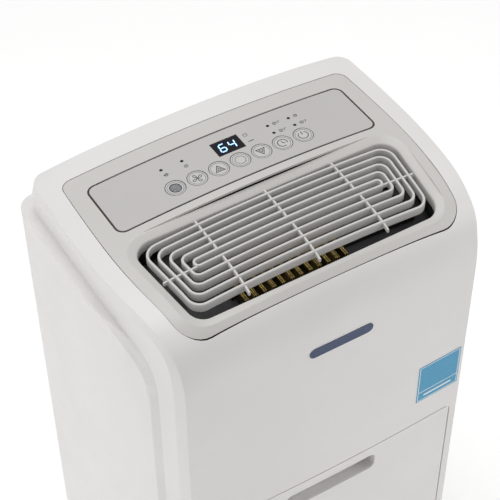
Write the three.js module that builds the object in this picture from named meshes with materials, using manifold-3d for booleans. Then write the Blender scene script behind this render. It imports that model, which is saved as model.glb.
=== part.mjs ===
// A portable dehumidifier on casters. Two casing shells carry a grey top panel with
// seven keys and the air outlet. A water bucket fills the lower front, and the cooling
// parts and the fan are behind and above it.
// Millimetres. X is right, Y is towards the back, Z is up. The origin is on the floor
// under the middle of the casing.
import * as THREE from 'three';
import { mergeVertices } from 'three/addons/utils/BufferGeometryUtils.js';
import Module from 'manifold-3d';

const wasm = await Module();
wasm.setup();

// ---------- driving sizes ----------
const TOP = 617.5;               // middle of the casing's top
const REAR = 138.7;              // back of the lower casing
const FRONT = -134.8;            // front edges of the casing, at the corners
const SEAM = 20;                 // where the front and rear shells meet
const SIDE = 191;                // half width of the lower casing
const RIM = 180;                 // half width of the top rim
const LEDGE = 573;               // the ledge between the lower casing and the rim
const SKIRT = 38;                // lower edge of the casing above the floor
const MIDDLE_REAR = 127;         // back of the raised middle
const CHEEK_FRONT = -105.4;      // front of the lower casing's two cheeks
const CROWN_RADIUS = 1600;       // the top is higher in the middle than at the sides
const BOW_RADIUS = 3000;         // the front is further forwards in the middle
const WALL = 3;
const GAP = 0.3;                 // clearance between two neighbouring pieces
const FAR = 400;                 // beyond every face, for cutting tools
const UNDER_TOP = 500;           // heights below and above every piece of the top
const OVER_TOP = 700;
const PANEL_SEAT = 556;          // the panel's opening starts below the panel's lowest edge

// ---------- solid helpers ----------
function toManifold(geometry) {
  const plain = geometry.clone();
  plain.deleteAttribute('normal');
  plain.deleteAttribute('uv');
  const merged = mergeVertices(plain, 1e-4);
  return new wasm.Manifold(new wasm.Mesh({
    numProp: 3,
    vertProperties: new Float32Array(merged.attributes.position.array),
    triVerts: new Uint32Array(merged.index.array),
  }));
}

function toGeometry(manifold) {
  const mesh = manifold.getMesh();
  const geometry = new THREE.BufferGeometry();
  geometry.setAttribute('position', new THREE.BufferAttribute(new Float32Array(mesh.vertProperties), 3));
  geometry.setIndex(new THREE.BufferAttribute(new Uint32Array(mesh.triVerts), 1));
  return geometry;
}

function combine(operation, pieces) {
  const [first, ...others] = pieces.map(toManifold);
  return toGeometry(others.reduce((sum, next) => sum[operation](next), first));
}

const add = (...pieces) => combine('add', pieces);
const cut = (...pieces) => combine('subtract', pieces);
const common = (...pieces) => combine('intersect', pieces);

function box(x0, x1, y0, y1, z0, z1) {
  const geometry = new THREE.BoxGeometry(x1 - x0, y1 - y0, z1 - z0);
  return geometry.translate((x0 + x1) / 2, (y0 + y1) / 2, (z0 + z1) / 2);
}

// Round bars between two points along one axis.
function rodX(radius, x0, x1, y, z, sides = 16) {
  const bar = new THREE.CylinderGeometry(radius, radius, x1 - x0, sides).rotateZ(Math.PI / 2);
  return bar.translate((x0 + x1) / 2, y, z);
}

function rodY(radius, x, y0, y1, z, sides = 24) {
  return new THREE.CylinderGeometry(radius, radius, y1 - y0, sides).translate(x, (y0 + y1) / 2, z);
}

function rodZ(radius, x, y, z0, z1, sides = 16) {
  const bar = new THREE.CylinderGeometry(radius, radius, z1 - z0, sides).rotateX(Math.PI / 2);
  return bar.translate(x, y, (z0 + z1) / 2);
}

const outline = (points) => new THREE.Shape(points.map(([u, v]) => new THREE.Vector2(u, v)));

function extrude(shape, depth, curveSegments, steps = 1) {
  return new THREE.ExtrudeGeometry(shape, { depth, steps, bevelEnabled: false, curveSegments });
}

// An outline in X and Y, raised from z0 to z1.
function raised(shape, z0, z1, curveSegments = 3) {
  return extrude(shape, z1 - z0, curveSegments).translate(0, 0, z0);
}

// A side profile in Y and Z, drawn out from x0 to x1.
function drawnAcross(shape, x0, x1, curveSegments = 5, steps = 1) {
  return extrude(shape, x1 - x0, curveSegments, steps).rotateX(Math.PI / 2).rotateZ(Math.PI / 2).translate(x0, 0, 0);
}

// A front view in X and Z, drawn out from y0 to y1.
function drawnBack(shape, y0, y1, curveSegments = 3) {
  return extrude(shape, y1 - y0, curveSegments).rotateX(Math.PI / 2).translate(0, y1, 0);
}

function roundedRectangle(x0, x1, y0, y1, r) {
  const shape = new THREE.Shape();
  shape.moveTo(x0 + r, y0);
  shape.lineTo(x1 - r, y0);
  shape.absarc(x1 - r, y0 + r, r, -Math.PI / 2, 0);
  shape.lineTo(x1, y1 - r);
  shape.absarc(x1 - r, y1 - r, r, 0, Math.PI / 2);
  shape.lineTo(x0 + r, y1);
  shape.absarc(x0 + r, y1 - r, r, Math.PI / 2, Math.PI);
  shape.lineTo(x0, y0 + r);
  shape.absarc(x0 + r, y0 + r, r, Math.PI, 1.5 * Math.PI);
  return shape;
}

const mirrored = (points) => points.map(([x, y]) => [-x, y]).reverse();

// Points on a quarter round, from straight ahead of the centre to its side.
function quarter(centreX, centreY, radiusX, radiusY, steps) {
  return Array.from({ length: steps + 1 }, (_, step) => {
    const angle = (step / steps) * Math.PI / 2;
    return [centreX + radiusX * Math.sin(angle), centreY + radiusY * Math.cos(angle)];
  });
}

// ---------- casing outlines ----------
// Half widths shrink towards the front in one long arc.
const sideHalfWidth = (y) => SIDE - 0.000998 * Math.max(0, SEAM - y) ** 2;
const rimHalfWidth = (y) => RIM - 0.00073 * Math.max(0, SEAM - y) ** 2;
const crownDrop = (x) => x * x / (2 * CROWN_RADIUS);
const frontBow = (x) => Math.max(0, 158 * 158 - x * x) / (2 * BOW_RADIUS);

// Plan of a casing body: rounded rear corners, tapering sides and a bevel at each front corner.
function plan(halfWidth, rear, cornerRadius, front, bevel) {
  const corner = quarter(halfWidth(rear) - cornerRadius, rear - cornerRadius, cornerRadius, cornerRadius, 4);
  const bevelY = front + bevel;
  const side = Array.from({ length: 6 }, (_, step) => {
    const y = SEAM + (bevelY - SEAM) * (step / 5);
    return [halfWidth(y), y];
  });
  const right = [...corner, ...side, [halfWidth(bevelY) - bevel, front]];
  return outline([...right, ...mirrored(right)]);
}

// Side profile of the raised middle, drawn for a body that is `inset` smaller all round.
function middleProfile(inset) {
  const front = FRONT + inset;
  const top = TOP - inset;
  const rear = MIDDLE_REAR - inset;
  const shape = new THREE.Shape();
  shape.moveTo(rear, SKIRT - inset);
  shape.lineTo(rear, top - 6);
  shape.quadraticCurveTo(rear, top - 1.4, rear - 5, top - 1.4);
  shape.lineTo(5, top);
  shape.quadraticCurveTo(-60, top - 0.5, -103, top - 7);
  shape.bezierCurveTo(-122, top - 11, front, top - 28, front, top - 68);
  shape.lineTo(front, SKIRT - inset);
  return shape;
}

// Side profile of the lower casing: the ledge, rounded down into the cheeks.
function lowerProfile(inset) {
  const front = CHEEK_FRONT + inset;
  const top = LEDGE - inset;
  const rear = REAR - inset;
  const shape = new THREE.Shape();
  shape.moveTo(rear, SKIRT - inset);
  shape.lineTo(rear, top);
  shape.lineTo(-20, top);
  shape.bezierCurveTo(-70, top - 2, front, top - 14, front, top - 58);
  shape.lineTo(front, SKIRT - inset);
  return shape;
}

// Bends a piece to the crowned top and the bowed front.
function bend(geometry) {
  const position = geometry.attributes.position;
  for (let i = 0; i < position.count; i += 1) {
    const x = position.getX(i);
    const y = position.getY(i);
    const z = position.getZ(i);
    position.setZ(i, z - crownDrop(x) * THREE.MathUtils.smoothstep(z, LEDGE - 30, LEDGE + 12));
    position.setY(i, y - frontBow(x) * THREE.MathUtils.clamp((SEAM - y) / 130, 0, 1));
  }
  return geometry;
}

const MIDDLE = { cornerRadius: 18, bow: 6, bevel: 12 };
const LOWER = { cornerRadius: 20, bevel: 6 };
const BEND_STEPS = 8;
const bentMiddle = (inset) => bend(drawnAcross(middleProfile(inset), -RIM - 10, RIM + 10, 3, BEND_STEPS));

function casingBody(inset) {
  const middlePlan = plan(
    (y) => rimHalfWidth(y) - inset, MIDDLE_REAR - inset, MIDDLE.cornerRadius, FRONT - MIDDLE.bow + inset, MIDDLE.bevel,
  );
  const lowerPlan = plan(
    (y) => sideHalfWidth(y) - inset, REAR - inset, LOWER.cornerRadius, CHEEK_FRONT + inset, LOWER.bevel,
  );
  return add(
    common(bentMiddle(inset), raised(middlePlan, 0, OVER_TOP)),
    common(drawnAcross(lowerProfile(inset), -FAR, FAR, 4), raised(lowerPlan, 0, OVER_TOP)),
  );
}

// A layer of the top, `drop` below its surface and `thick` deep.
function topLayer(drop, thick) {
  return cut(bentMiddle(drop), bentMiddle(drop + thick));
}

// A layer of the straight front, `depth` behind its surface and `thick` deep.
function frontLayer(depth, thick) {
  const across = Array.from({ length: 15 }, (_, step) => -168 + step * 24);
  const face = across.map((x) => [x, FRONT - frontBow(x) + depth]);
  const back = across.map((x) => [x, FRONT - frontBow(x) + depth + thick]).reverse();
  return raised(outline([...face, ...back]), 40, 549);
}

// ---------- casing shells ----------
const FACE = { x: 150, z0: 66, z1: 331.5, r: 8, toolBack: -80 };   // the bucket's opening in the front
const INTAKE = { x: 150, z0: 190, z1: 540, r: 10 };     // the air intake in the back
const DRAIN = { x: 110, z: 145, outer: 10, inner: 7 };
const CORD = { x: -120, z: 90, r: 7.6 };
const SCREW = { x: 168, z: [70, 540], r: 4.2, head: 1.6 };

const REAR_TOOL = 122;            // cuts in the back start in front of its walls

const screwSpots = [-1, 1].flatMap((side) => SCREW.z.map((z) => [side * SCREW.x, z]));

function casingShell() {
  const hollow = cut(casingBody(0), casingBody(WALL));
  const panelHole = raised(panelOutline(0), PANEL_SEAT, OVER_TOP);
  return cut(hollow, panelHole, box(-FAR, FAR, -FAR, FAR, -10, SKIRT));
}

function frontShell(shell) {
  const rest = box(-FAR, FAR, SEAM - GAP / 2, FAR, 0, OVER_TOP);
  const bucketHole = drawnBack(roundedRectangle(-FACE.x, FACE.x, FACE.z0, FACE.z1, FACE.r), -FAR, FACE.toolBack);
  return cut(shell, rest, bucketHole);
}

function rearShell(shell) {
  const rest = box(-FAR, FAR, -FAR, SEAM + GAP / 2, 0, OVER_TOP);
  const intakeHole = drawnBack(
    roundedRectangle(-INTAKE.x, INTAKE.x, INTAKE.z0, INTAKE.z1, INTAKE.r), REAR_TOOL, FAR,
  );
  const drainHole = rodY(DRAIN.outer + 1, DRAIN.x, REAR_TOOL, FAR, DRAIN.z);
  const cordHole = rodY(CORD.r + GAP, CORD.x, REAR_TOOL, FAR, CORD.z);
  const screwHoles = screwSpots.map(([x, z]) => rodY(SCREW.r + GAP, x, REAR - SCREW.head - GAP, FAR, z, 12));
  return cut(shell, rest, intakeHole, drainHole, cordHole, ...screwHoles);
}

// ---------- top panel ----------
const PANEL = { back: 101.5, front: -123.5, drop: 0.6, thick: 3 };
const OVERLAY = { x: 141.2, y0: 11.2, y1: 81.4, r: 9, thick: 1.2 };
const OUTLET = { y0: -104, y1: -7.4, backX: 142, frontX: 130, r: 17 };
const KEYS = { names: ['filter', 'fan', 'up', 'mode', 'down', 'timer', 'power'], pitch: 23.4, y: 34.3, r: 9.5 };
const LAMPS = [[-70, 62.5], [-47.6, 62.5], [47.4, 62.5], [47.4, 50.7], [71, 62.5], [71, 50.7]];
const LAMP_RADIUS = 1.6;
const LAMP_LENGTH = 6;
const HOLE_PLAY = 0.8;             // the panel's own holes are wider than the overlay's
const STEM = { r: 3, end: 9, cap: 4.4 };   // a key's stem and the depth of its cap
const DISPLAY = { x: 14.6, y0: 48, y1: 67.6, deep: 7, sunk: 0.2 };
const BOARD = { x: 95, y0: 22, y1: 74, below: 18, thick: 1.6 };

const panelHalfWidth = (y) => 160.5 - 0.0009 * Math.max(0, 8 - y) ** 2 - 0.00031 * Math.max(0, y - 8) ** 2;
const keyX = (index) => (index - 3) * KEYS.pitch;
const topAt = (x, y) => TOP - 1.4 * Math.max(0, y - 5) / 117 - crownDrop(x);

function panelOutline(grow) {
  const back = quarter(panelHalfWidth(90) + grow - 12, PANEL.back + grow - 12, 12, 12, 3);
  const sides = [60, 30, 0, -30, -60, -85].map((y) => [panelHalfWidth(y) + grow, y]);
  const front = quarter(panelHalfWidth(-94) + grow - 30, PANEL.front - grow + 25, 30, -25, 4).reverse();
  const right = [...back, ...sides, ...front];
  return outline([...right, ...mirrored(right)]);
}

function overlayOutline(grow) {
  const { x, y0, y1, r } = OVERLAY;
  return roundedRectangle(-x - grow, x + grow, y0 - grow, y1 + grow, r + grow);
}

// The outlet is wider at the back than at the front and has rounded corners.
function taperedLoop(backX, frontX, y0, y1, r) {
  const lean = r * (backX - frontX) / (y1 - y0);
  const shape = new THREE.Shape();
  shape.moveTo(-frontX + r, y0);
  shape.lineTo(frontX - r, y0);
  shape.quadraticCurveTo(frontX, y0, frontX + lean, y0 + r);
  shape.lineTo(backX - lean, y1 - r);
  shape.quadraticCurveTo(backX, y1, backX - r, y1);
  shape.lineTo(-backX + r, y1);
  shape.quadraticCurveTo(-backX, y1, -backX + lean, y1 - r);
  shape.lineTo(-frontX - lean, y0 + r);
  shape.quadraticCurveTo(-frontX, y0, -frontX + r, y0);
  return shape;
}

function outletOutline(grow) {
  const { y0, y1, backX, frontX, r } = OUTLET;
  return taperedLoop(backX + grow, frontX + grow, y0 - grow, y1 + grow, r);
}

function faceHoles(grow) {
  const z = [UNDER_TOP, OVER_TOP];
  const keys = KEYS.names.map((name, index) => rodZ(KEYS.r + grow, keyX(index), KEYS.y, ...z, 20));
  const lamps = LAMPS.map(([x, y]) => rodZ(LAMP_RADIUS + grow, x, y, ...z, 10));
  const display = box(-DISPLAY.x - grow, DISPLAY.x + grow, DISPLAY.y0 - grow, DISPLAY.y1 + grow, ...z);
  return [...keys, ...lamps, display];
}

function topPanel() {
  const slab = common(topLayer(PANEL.drop, PANEL.thick), raised(panelOutline(-GAP), UNDER_TOP, OVER_TOP));
  const pocket = common(topLayer(0, PANEL.drop + OVERLAY.thick + GAP), raised(overlayOutline(GAP), UNDER_TOP, OVER_TOP));
  return cut(slab, pocket, raised(outletOutline(0), UNDER_TOP, OVER_TOP), ...faceHoles(HOLE_PLAY));
}

function controlOverlay() {
  const slab = common(topLayer(PANEL.drop, OVERLAY.thick), raised(overlayOutline(0), UNDER_TOP, OVER_TOP));
  return cut(slab, ...faceHoles(GAP));
}

function key(index) {
  const top = topAt(keyX(index), KEYS.y) - PANEL.drop;
  return add(
    rodZ(KEYS.r, keyX(index), KEYS.y, top - STEM.cap, top, 20),
    rodZ(STEM.r, keyX(index), KEYS.y, top - STEM.end, top - STEM.cap + 1, 10),
  );
}

function lamp([x, y]) {
  const top = topAt(x, y) - PANEL.drop;
  return rodZ(LAMP_RADIUS, x, y, top - LAMP_LENGTH, top, 10);
}

function displayWindow() {
  const { x, y0, y1, deep, sunk } = DISPLAY;
  return box(-x, x, y0, y1, TOP - deep, topAt(0, y1) - PANEL.drop - sunk);
}

function controlBoard() {
  const { x, y0, y1, below, thick } = BOARD;
  return box(-x, x, y0, y1, TOP - below, TOP - below + thick);
}

// ---------- outlet grille: loops one inside the other, joined by short ribs ----------
const LOOPS = { count: 5, y: 10.4, stepY: 8.95, x: 8.4, stepX: 7.3, bar: 2.4, deep: 9, frame: 1.8 };
const RIBS = { x: 75, half: 1.4, endsFrom: 98, endsTo: 134.5 };

function loopOutline(index, grow) {
  const insetY = LOOPS.y + index * LOOPS.stepY - grow;
  const insetX = LOOPS.x + index * LOOPS.stepX - grow;
  const { y0, y1, backX, frontX, r } = OUTLET;
  const corner = Math.min(r - index * 2.5, (y1 - y0) / 2 - insetY - 0.5);
  const slope = (backX - frontX) * insetY / (y1 - y0);
  return taperedLoop(backX - insetX - slope, frontX - insetX + slope, y0 + insetY, y1 - insetY, corner);
}

function outletGrille() {
  const z = [UNDER_TOP, OVER_TOP];
  const half = LOOPS.bar / 2;
  const middleY = (OUTLET.y0 + OUTLET.y1) / 2;
  const loops = Array.from({ length: LOOPS.count }, (_, index) => (
    cut(raised(loopOutline(index, half), ...z, 2), raised(loopOutline(index, -half), ...z, 2))
  ));
  const frame = cut(raised(outletOutline(-GAP), ...z), raised(outletOutline(-GAP - LOOPS.frame), ...z));
  const innerY = (OUTLET.y1 - OUTLET.y0) / 2 - LOOPS.y - (LOOPS.count - 1) * LOOPS.stepY;
  const edge = GAP + LOOPS.frame / 2;
  const { half: rib, endsFrom, endsTo } = RIBS;
  const ribs = [-RIBS.x, 0, RIBS.x].flatMap((x) => [
    box(x - rib, x + rib, OUTLET.y0 + edge, middleY - innerY, ...z),
    box(x - rib, x + rib, middleY + innerY, OUTLET.y1 - edge, ...z),
  ]);
  const ends = [
    box(-endsTo, -endsFrom, middleY - rib, middleY + rib, ...z),
    box(endsFrom, endsTo, middleY - rib, middleY + rib, ...z),
  ];
  return common(add(...loops, frame, ...ribs, ...ends), topLayer(PANEL.drop + 0.5, LOOPS.deep));
}

// ---------- water bucket ----------
const BUCKET = { x: 143, y0: -124, y1: 3, z0: 68, z1: 310, wall: 2.4, r: 14 };
const PIVOT = { y: -60, z: 296, peg: 3, reach: 48, rest: 56 };   // the carrying handle's pivot
const HANDLE = { x: BUCKET.x + 3.2, half: 5, thick: 2.8, eye: 6 };
const MOUTH = { x0: 60, x1: 128, y0: -92, y1: -28, r: 12 };        // pouring hole in the lid
const FLOAT = { x: -70, half: 20, deep: 22, tall: 26, r: 5, play: 0.6 };

function waterBucket() {
  const { x, y0, y1, z0, z1, wall, r } = BUCKET;
  const outer = raised(roundedRectangle(-x, x, y0, y1, r), z0, z1);
  const inner = raised(roundedRectangle(-x + wall, x - wall, y0 + wall, y1 - wall, r - wall), z0 + wall, z1 + 9);
  const pegs = [
    rodX(PIVOT.peg, x - 1, x + 4.2, PIVOT.y, PIVOT.z, 12),
    rodX(PIVOT.peg, -x - 4.2, -x + 1, PIVOT.y, PIVOT.z, 12),
  ];
  const guideX = FLOAT.half + 1.4;
  const guides = [-1, 1].map((side) => {
    const middle = FLOAT.x + side * guideX;
    return box(middle - 1, middle + 1, y1 - FLOAT.deep, y1 - 1, z0 + 1, z1 - 20);
  });
  return add(cut(outer, inner), ...pegs, ...guides);
}

// The face closes the opening in the front. A cup behind it takes the fingertips, which
// hook up behind the face's top edge, and bosses join the face to the bucket.
const SKIN = 3.2;                // thickness of the face
const CUP = { x: 56, z0: 291, z1: 329, mouthZ0: 295, mouthZ1: 317, wall: 2, back: BUCKET.y0 - GAP };
const BOSS = { x: 120, z: [100, 285], r: 7 };

function bucketFace() {
  const { x, z0, z1, r, toolBack } = FACE;
  const margin = 1;
  const edge = roundedRectangle(-x + margin, x - margin, z0 + margin, z1 - margin, r - margin);
  const skin = common(frontLayer(0, SKIN), drawnBack(edge, -FAR, toolBack));
  const cup = box(-CUP.x, CUP.x, FRONT - 2, CUP.back, CUP.z0, CUP.z1);
  const hollow = box(
    -CUP.x + CUP.wall, CUP.x - CUP.wall, FRONT - frontBow(CUP.x) + SKIN, CUP.back - CUP.wall,
    CUP.z0 + CUP.wall, CUP.z1 - CUP.wall,
  );
  const mouth = box(-CUP.x + CUP.wall, CUP.x - CUP.wall, -FAR, FRONT, CUP.mouthZ0, CUP.mouthZ1);
  const bosses = [-BOSS.x, BOSS.x].flatMap((bossX) => (
    BOSS.z.map((z) => rodY(BOSS.r, bossX, FRONT + 1, CUP.back, z, 16))
  ));
  return cut(add(skin, cup, ...bosses), hollow, mouth);
}

function bucketLid() {
  const { x, y0, y1, z1, wall, r } = BUCKET;
  const plate = raised(roundedRectangle(-x + 1, x - 1, y0 + 1, y1 - 1, r - 1), z1 + GAP, z1 + GAP + wall);
  const mouth = raised(roundedRectangle(MOUTH.x0, MOUTH.x1, MOUTH.y0, MOUTH.y1, MOUTH.r), 0, FAR);
  return cut(plate, mouth);
}

function bucketHandle() {
  const { y, z, reach, peg, rest } = PIVOT;
  const { half, thick, eye } = HANDLE;
  const sides = [-1, 1].map((side) => {
    const x0 = side * HANDLE.x - thick / 2;
    return add(box(x0, x0 + thick, y - half, y + half, z, z + reach), rodX(eye, x0, x0 + thick, y, z, 16));
  });
  const grip = box(-HANDLE.x, HANDLE.x, y - half, y + half, z + reach - half, z + reach);
  const bores = rodX(peg + GAP, -FAR, FAR, y, z, 12);
  const upright = cut(add(...sides, grip), bores);
  return upright.translate(0, -y, -z).rotateX(-THREE.MathUtils.degToRad(rest)).translate(0, y, z);
}

function bucketFloat() {
  const back = BUCKET.y1 - BUCKET.wall - FLOAT.play;
  const z0 = BUCKET.z0 + BUCKET.wall + GAP;
  const section = roundedRectangle(FLOAT.x - FLOAT.half, FLOAT.x + FLOAT.half, back - FLOAT.deep, back, FLOAT.r);
  return raised(section, z0, z0 + FLOAT.tall);
}

const levelSwitch = () => add(box(-20, 20, -6, 5, 322, 351), rodZ(3, 0, -1, 315, 323, 12));

// ---------- back: intake grille and air filter ----------
const SLOTS = { rows: 21, first: 16, pitch: 15, high: 8, margin: 12, middle: 3 };

function intakeGrille() {
  const { x, z0, z1, r } = INTAKE;
  const plate = drawnBack(roundedRectangle(-x + GAP, x - GAP, z0 + GAP, z1 - GAP, r - GAP), REAR - 2.4, REAR + 1);
  const { rows, first, pitch, high, margin, middle } = SLOTS;
  const slots = Array.from({ length: rows }, (_, row) => z0 + first + row * pitch).flatMap((z) => [
    box(-x + margin, -middle, REAR_TOOL, FAR, z, z + high),
    box(middle, x - margin, REAR_TOOL, FAR, z, z + high),
  ]);
  const fingerSlot = box(-30, 30, REAR_TOOL, FAR, z1 - 13, z1 - 5);
  return cut(plate, ...slots, fingerSlot);
}

function filterFrame() {
  const { x, z0, z1 } = INTAKE;
  return cut(
    box(-x + 4, x - 4, REAR - 8, REAR - 2.7, z0 + 4, z1 - 4),
    box(-x + 12, -4, REAR - 20, REAR, z0 + 12, z1 - 12),
    box(4, x - 12, REAR - 20, REAR, z0 + 12, z1 - 12),
  );
}

const filterMesh = () => box(
  -INTAKE.x + 6, INTAKE.x - 6, REAR - 9.4, REAR - 8.3, INTAKE.z0 + 6, INTAKE.z1 - 6,
);

// ---------- inside ----------
const CASTER = { x: 148, y: [-72, 104], r: 14, trail: 3, stem: 4 };
const PAN = { z0: 39, z1: 57, floor: 3 };
const SHELF = 352;               // shelf over the bucket
const SHEET = { x: 182, y: 6, z1: 560, shelfX: 150, shelfFront: -100, thick: 1.5 };
const FAN = { z: 458, wheel: 72, inlet: 64, front: -86, back: 2 };

const casterSpots = [-1, 1].flatMap((side) => CASTER.y.map((y) => [side * CASTER.x, y]));

function basePan() {
  const edge = WALL + 1;
  const outer = plan((y) => sideHalfWidth(y) - edge, REAR - edge, 18, CHEEK_FRONT + edge, 6);
  const inner = plan((y) => sideHalfWidth(y) - edge - 3, REAR - edge - 3, 16, CHEEK_FRONT + edge + 3, 6);
  const stems = casterSpots.map(([x, y]) => rodZ(CASTER.stem + GAP, x, y, 30, 60, 14));
  return cut(raised(outer, PAN.z0, PAN.z1), raised(inner, PAN.z0 + PAN.floor, 80), ...stems);
}

function bulkhead() {
  const { x, y, z1, shelfX, shelfFront, thick } = SHEET;
  const wall = box(-x, x, y, y + thick, PAN.z1 + 1, z1);
  const shelf = box(-shelfX, shelfX, shelfFront, y + thick, SHELF, SHELF + thick);
  return cut(add(wall, shelf), rodY(FAN.inlet, 0, y - 10, y + 10, FAN.z, 32));
}

function compressor() {
  const profile = [[0, 43], [44, 43], [44, 47], [50, 52], [50, 128], [44, 144], [26, 154], [0, 156]];
  const can = new THREE.LatheGeometry(profile.map(([r, z]) => new THREE.Vector2(r, z)), 32);
  return add(can.rotateX(Math.PI / 2).translate(-105, 72, 0), rodZ(6, -105, 72, 150, 168, 12));
}

// A finned block: upright grooves in its back leave a plate and the fins.
const COIL = { x: 150, z0: 224, z1: 548, grooves: 16, groove: 15, pitch: 18.5, plate: 3 };

function finnedCoil(y, thick) {
  const { x, z0, z1, grooves, groove, pitch, plate } = COIL;
  const first = -((grooves - 1) * pitch + groove) / 2;
  const tools = Array.from({ length: grooves }, (_, index) => first + index * pitch).map((left) => (
    box(left, left + groove, y + plate, y + thick + 5, z0 - 5, z1 + 5)
  ));
  return cut(box(-x, x, y, y + thick, z0, z1), ...tools);
}

const EVAPORATOR = { y: 104, thick: 20 };
const CONDENSER = { y: 60, thick: 34 };
const TRAY = { x: 154, y0: 46, y1: 126, z0: 204, z1: 220, wall: 1.2 };

function dripTray() {
  const { x, y0, y1, z0, z1, wall } = TRAY;
  return cut(box(-x, x, y0, y1, z0, z1), box(-x + wall, x - wall, y0 + wall, y1 - wall, z0 + wall, z1 + wall));
}

// The scroll grows around the wheel and opens upwards to the outlet.
const SCROLL = { r: 82, growth: 1.1, steps: 18, x0: -82, x1: 118, z1: 586, wall: 2.4 };

function fanScroll() {
  const { r, growth, steps, x0, x1, z1, wall } = SCROLL;
  const spiral = (shrink) => Array.from({ length: steps + 1 }, (_, step) => {
    const angle = (step / steps) * 1.5 * Math.PI;
    const radius = r + step * growth - shrink;
    return [-radius * Math.cos(angle), FAN.z - radius * Math.sin(angle)];
  });
  const lastZ = FAN.z + r + steps * growth;
  const outer = outline([...spiral(0), [x1, lastZ], [x1, z1], [x0, z1]]);
  const inner = outline([...spiral(wall), [x1 - wall, lastZ - wall], [x1 - wall, z1 + 14], [x0 + wall, z1 + 14]]);
  return cut(
    drawnBack(outer, FAN.front, FAN.back),
    drawnBack(inner, FAN.front + wall, FAN.back - wall),
    rodY(FAN.inlet, 0, -20, 20, FAN.z, 32),
    rodY(9, 0, FAN.front - 14, FAN.front + 16, FAN.z, 16),
  );
}

function blowerWheel() {
  const { z, wheel, front } = FAN;
  const back = front + 10;
  const blades = Array.from({ length: 16 }, (_, index) => (
    box(-1, 1, back + 1, -6, wheel - 15, wheel - 1).rotateY(index * Math.PI / 8).translate(0, 0, z)
  ));
  const disc = rodY(wheel, 0, back, back + 2.4, z, 28);
  const ring = cut(rodY(wheel, 0, -8, -5, z, 28), rodY(wheel - 12, 0, -20, 5, z, 28));
  const hub = rodY(14, 0, back, back + 18, z, 20);
  return cut(add(disc, ring, hub, ...blades), rodY(4.4, 0, -100, 0, z, 12));
}

const fanMotor = () => add(
  rodY(30, 0, FAN.front - 28, FAN.front - GAP, FAN.z, 28),
  rodY(4, 0, FAN.front - 2, FAN.front + 24, FAN.z, 12),
);

const capacitor = () => rodZ(17, 100, 96, 62, 122, 20);

const electricalBox = () => add(box(62, 132, 60, 128, 43, 61.6), box(62, 66, 60, 128, 61, 160));

function pipe(points, radius) {
  const path = new THREE.CatmullRomCurve3(points.map(([x, y, z]) => new THREE.Vector3(x, y, z)));
  const round = new THREE.Shape().absarc(0, 0, radius, 0, 2 * Math.PI);
  return new THREE.ExtrudeGeometry(round, { steps: 20, extrudePath: path, curveSegments: 4, bevelEnabled: false });
}

const suctionPipe = () => pipe([[-160, 78, 110], [-170, 92, 150], [-168, 112, 300], [-157, 114, 430]], 4);
const dischargePipe = () => pipe([[-105, 72, 172], [-112, 36, 186], [-162, 34, 214], [-156, 76, 400]], 3);

// ---------- outside fittings ----------
function casterFork([x, y]) {
  const axleY = y + CASTER.trail;
  const sides = [-10.5, 10.5].map((shift) => (
    box(x + shift - 1.5, x + shift + 1.5, y - 6, y + 10, 9, 32)
  ));
  return cut(
    add(box(x - 12, x + 12, y - 9, y + 10, 31, 34), rodZ(CASTER.stem, x, y, 33, 48, 14), ...sides),
    rodX(2.2, x - 20, x + 20, axleY, CASTER.r, 12),
  );
}

function casterWheel([x, y]) {
  const axleY = y + CASTER.trail;
  return add(
    rodX(CASTER.r, x - 8, x + 8, axleY, CASTER.r, 24),
    rodX(1.9, x - 13, x + 13, axleY, CASTER.r, 12),
  );
}

function drainOutlet() {
  const { x, z, outer, inner } = DRAIN;
  return cut(rodY(outer, x, REAR - 24, REAR + 1, z), rodY(inner, x, REAR - 40, REAR + 9, z, 20));
}

// A rubber plug pushed into the outlet's mouth, just below its rim.
const drainPlug = () => add(
  rodY(DRAIN.inner - GAP, DRAIN.x, REAR - 12, REAR - 1, DRAIN.z, 20),
  box(DRAIN.x - 4, DRAIN.x + 4, REAR - 2, REAR + 0.6, DRAIN.z - 1, DRAIN.z + 1),
);

function cordInlet() {
  const { x, z, r } = CORD;
  return cut(
    add(rodY(r, x, REAR - 8, REAR + 0.8, z, 16), rodY(r + 3, x, REAR + GAP, REAR + 1, z, 20)),
    rodY(4, x, REAR - 20, REAR + 9, z, 12),
  );
}

function caseScrew([x, z]) {
  const face = REAR - 0.2;
  const slot = box(x - 3, x + 3, face - 0.8, face + 1, z - 0.6, z + 0.6);
  return cut(rodY(SCREW.r, x, REAR - SCREW.head, face, z, 12), slot);
}

// A thin plate that lies on the bowed front.
const LABEL = { x0: 101.5, x1: 154.5, z0: 366, z1: 421, r: 1 };
const BADGE = { x0: -32, x1: 38, z0: 520, z1: 532, r: 3 };

function frontPlate({ x0, x1, z0, z1, r }) {
  return common(frontLayer(-0.7, 0.4), drawnBack(roundedRectangle(x0, x1, z0, z1, r), -FAR, FACE.toolBack));
}

// ---------- assembly ----------
const group = new THREE.Group();
group.name = 'dehumidifier';

function place(name, geometry, color, roughness = 0.5, metalness = 0) {
  const mesh = new THREE.Mesh(geometry, new THREE.MeshStandardMaterial({ color, roughness, metalness }));
  mesh.name = name;
  group.add(mesh);
}

const WHITE = 0xece9e6;
const GREY = 0xcfccc9;
const CHARCOAL = 0x2b2c2e;
const ZINC = 0xaeb2b5;
const COPPER = 0xb87333;

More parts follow.
